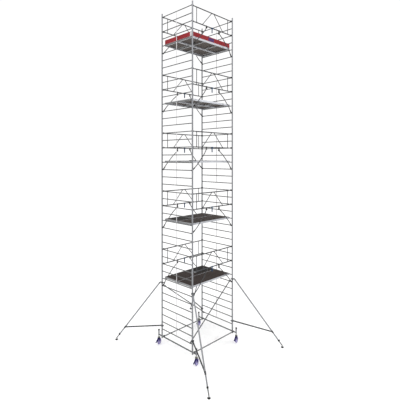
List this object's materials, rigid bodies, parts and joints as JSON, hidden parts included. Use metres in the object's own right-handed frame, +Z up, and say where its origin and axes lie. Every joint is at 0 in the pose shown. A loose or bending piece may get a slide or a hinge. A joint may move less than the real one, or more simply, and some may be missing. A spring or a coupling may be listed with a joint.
{
  "type": "mobile tower scaffold",
  "caption": "Tall aluminium mobile tower scaffold: ladder end frames, paired platforms with hatches, side guardrails, red toe boards, castors and telescopic outriggers.",
  "frame": {"origin": "on the ground, in the middle of the tower", "axes": "+Z up, X along the platforms, Y along the rungs"},
  "size_m": [3.7854, 4.6168, 11.475],
  "materials": {
    "aluminium": "satin extruded tube",
    "rail_aluminium": "satin extruded tube, a little darker",
    "galvanised": "dull galvanised",
    "platform_board": "dark phenolic faced plywood, textured",
    "hatch_board": "dark phenolic faced plywood, textured",
    "platform_rail": "mill finish extrusion",
    "toe_board_red": "red coated board",
    "toe_board_white": "white plastic corner fitting",
    "blue_patch": "plain blue patch",
    "claw_black": "black moulded snap claw",
    "claw_cast": "cast aluminium",
    "handle_blue": "steel blue moulding",
    "castor_blue": "dark blue coated steel",
    "castor_wheel": "lavender grey nylon",
    "rubber": "black rubber",
    "zinc": "bright zinc plated",
    "clamp_black": "black moulding",
    "strut_dark": "dark galvanised tube"
  },
  "bodies": {
    "tower": {"base_beam_a": "galvanised", "end_frame_1m_a": "aluminium", "end_frame_2m_a_1": "aluminium", "end_frame_2m_a_2": "aluminium", "end_frame_2m_a_3": "aluminium", "end_frame_2m_a_4": "aluminium", "end_frame_2m_a_5": "aluminium", "base_beam_b": "galvanised", "end_frame_1m_b": "aluminium", "end_frame_2m_b_1": "aluminium", "end_frame_2m_b_2": "aluminium", "end_frame_2m_b_3": "aluminium", "end_frame_2m_b_4": "aluminium", "end_frame_2m_b_5": "aluminium", "horizontal_brace_front": "rail_aluminium", "diagonal_brace_front": "rail_aluminium", "guardrail_front_1": "rail_aluminium", "guardrail_front_2": "rail_aluminium", "guardrail_front_3": "rail_aluminium", "guardrail_front_4": "rail_aluminium", "guardrail_front_5": "rail_aluminium", "horizontal_brace_rear": "rail_aluminium", "diagonal_brace_rear": "rail_aluminium", "guardrail_rear_1": "rail_aluminium", "guardrail_rear_2": "rail_aluminium", "guardrail_rear_3": "rail_aluminium", "guardrail_rear_4": "rail_aluminium", "guardrail_rear_5": "rail_aluminium", "platform_plain_1": "platform_board", "platform_hatch_1": "platform_board", "platform_plain_2": "platform_board", "platform_hatch_2": "platform_board", "platform_plain_3": "platform_board", "platform_hatch_3": "platform_board", "platform_plain_4": "platform_board", "platform_hatch_4": "platform_board", "platform_plain_5": "platform_board", "platform_hatch_5": "platform_board", "toe_board_set": "toe_board_red"},
    "hatch_1": {"hatch_1": "hatch_board"},
    "hatch_2": {"hatch_2": "hatch_board"},
    "hatch_3": {"hatch_3": "hatch_board"},
    "hatch_4": {"hatch_4": "hatch_board"},
    "hatch_5": {"hatch_5": "hatch_board"},
    "castor_fork_a_front": {"castor_fork_a_front": "castor_blue"},
    "castor_wheel_a_front": {"castor_wheel_a_front": "castor_wheel"},
    "outrigger_a_front": {"outrigger_a_front": "aluminium"},
    "outrigger_leg_a_front": {"outrigger_leg_a_front": "aluminium"},
    "castor_fork_a_rear": {"castor_fork_a_rear": "castor_blue"},
    "castor_wheel_a_rear": {"castor_wheel_a_rear": "castor_wheel"},
    "outrigger_a_rear": {"outrigger_a_rear": "aluminium"},
    "outrigger_leg_a_rear": {"outrigger_leg_a_rear": "aluminium"},
    "castor_fork_b_front": {"castor_fork_b_front": "castor_blue"},
    "castor_wheel_b_front": {"castor_wheel_b_front": "castor_wheel"},
    "outrigger_b_front": {"outrigger_b_front": "aluminium"},
    "outrigger_leg_b_front": {"outrigger_leg_b_front": "aluminium"},
    "castor_fork_b_rear": {"castor_fork_b_rear": "castor_blue"},
    "castor_wheel_b_rear": {"castor_wheel_b_rear": "castor_wheel"},
    "outrigger_b_rear": {"outrigger_b_rear": "aluminium"},
    "outrigger_leg_b_rear": {"outrigger_leg_b_rear": "aluminium"}
  },
  "joints": [
    {"name": "hatch_1_hinge", "type": "hinge", "parent": "tower", "child": "hatch_1", "pos_m": [0.07, 0.3375, 2.414], "axis": [0, -1, 0], "range_deg": [0, 110]},
    {"name": "hatch_2_hinge", "type": "hinge", "parent": "tower", "child": "hatch_2", "pos_m": [-0.07, 0.3375, 4.414], "axis": [0, 1, 0], "range_deg": [0, 110]},
    {"name": "hatch_3_hinge", "type": "hinge", "parent": "tower", "child": "hatch_3", "pos_m": [0.07, 0.3375, 6.414], "axis": [0, -1, 0], "range_deg": [0, 110]},
    {"name": "hatch_4_hinge", "type": "hinge", "parent": "tower", "child": "hatch_4", "pos_m": [-0.07, 0.3375, 8.414], "axis": [0, 1, 0], "range_deg": [0, 110]},
    {"name": "hatch_5_hinge", "type": "hinge", "parent": "tower", "child": "hatch_5", "pos_m": [0.07, 0.3375, 10.414], "axis": [0, -1, 0], "range_deg": [0, 110]},
    {"name": "castor_swivel_a_front", "type": "hinge", "parent": "tower", "child": "castor_fork_a_front", "pos_m": [-0.99, -0.925, 0.36], "axis": [0, 0, 1], "continuous": true},
    {"name": "castor_roll_a_front", "type": "hinge", "parent": "castor_fork_a_front", "child": "castor_wheel_a_front", "pos_m": [-0.9658, -0.91874, 0.1], "axis": [-0.2504, 0.9681, 0], "continuous": true},
    {"name": "outrigger_swing_a_front", "type": "hinge", "parent": "tower", "child": "outrigger_a_front", "pos_m": [-0.99, -0.75, 2.2], "axis": [0, 0, 1], "range_deg": [-40, 40]},
    {"name": "outrigger_extend_a_front", "type": "slide", "parent": "outrigger_a_front", "child": "outrigger_leg_a_front", "axis": [-0.3012, -0.5325, -0.791], "range_m": [0, 0.35]},
    {"name": "castor_swivel_a_rear", "type": "hinge", "parent": "tower", "child": "castor_fork_a_rear", "pos_m": [-0.99, 0.925, 0.36], "axis": [0, 0, 1], "continuous": true},
    {"name": "castor_roll_a_rear", "type": "hinge", "parent": "castor_fork_a_rear", "child": "castor_wheel_a_rear", "pos_m": [-0.9658, 0.93126, 0.1], "axis": [-0.2504, 0.9681, 0], "continuous": true},
    {"name": "outrigger_swing_a_rear", "type": "hinge", "parent": "tower", "child": "outrigger_a_rear", "pos_m": [-0.99, 0.75, 2.2], "axis": [0, 0, 1], "range_deg": [-40, 40]},
    {"name": "outrigger_extend_a_rear", "type": "slide", "parent": "outrigger_a_rear", "child": "outrigger_leg_a_rear", "axis": [-0.3012, 0.5325, -0.791], "range_m": [0, 0.35]},
    {"name": "castor_swivel_b_front", "type": "hinge", "parent": "tower", "child": "castor_fork_b_front", "pos_m": [0.99, -0.925, 0.36], "axis": [0, 0, 1], "continuous": true},
    {"name": "castor_roll_b_front", "type": "hinge", "parent": "castor_fork_b_front", "child": "castor_wheel_b_front", "pos_m": [1.0142, -0.91874, 0.1], "axis": [-0.2504, 0.9681, 0], "continuous": true},
    {"name": "outrigger_swing_b_front", "type": "hinge", "parent": "tower", "child": "outrigger_b_front", "pos_m": [0.99, -0.75, 2.2], "axis": [0, 0, 1], "range_deg": [-40, 40]},
    {"name": "outrigger_extend_b_front", "type": "slide", "parent": "outrigger_b_front", "child": "outrigger_leg_b_front", "axis": [0.3012, -0.5325, -0.791], "range_m": [0, 0.35]},
    {"name": "castor_swivel_b_rear", "type": "hinge", "parent": "tower", "child": "castor_fork_b_rear", "pos_m": [0.99, 0.925, 0.36], "axis": [0, 0, 1], "continuous": true},
    {"name": "castor_roll_b_rear", "type": "hinge", "parent": "castor_fork_b_rear", "child": "castor_wheel_b_rear", "pos_m": [1.0142, 0.93126, 0.1], "axis": [-0.2504, 0.9681, 0], "continuous": true},
    {"name": "outrigger_swing_b_rear", "type": "hinge", "parent": "tower", "child": "outrigger_b_rear", "pos_m": [0.99, 0.75, 2.2], "axis": [0, 0, 1], "range_deg": [-40, 40]},
    {"name": "outrigger_extend_b_rear", "type": "slide", "parent": "outrigger_b_rear", "child": "outrigger_leg_b_rear", "axis": [0.3012, 0.5325, -0.791], "range_m": [0, 0.35]}
  ]
}
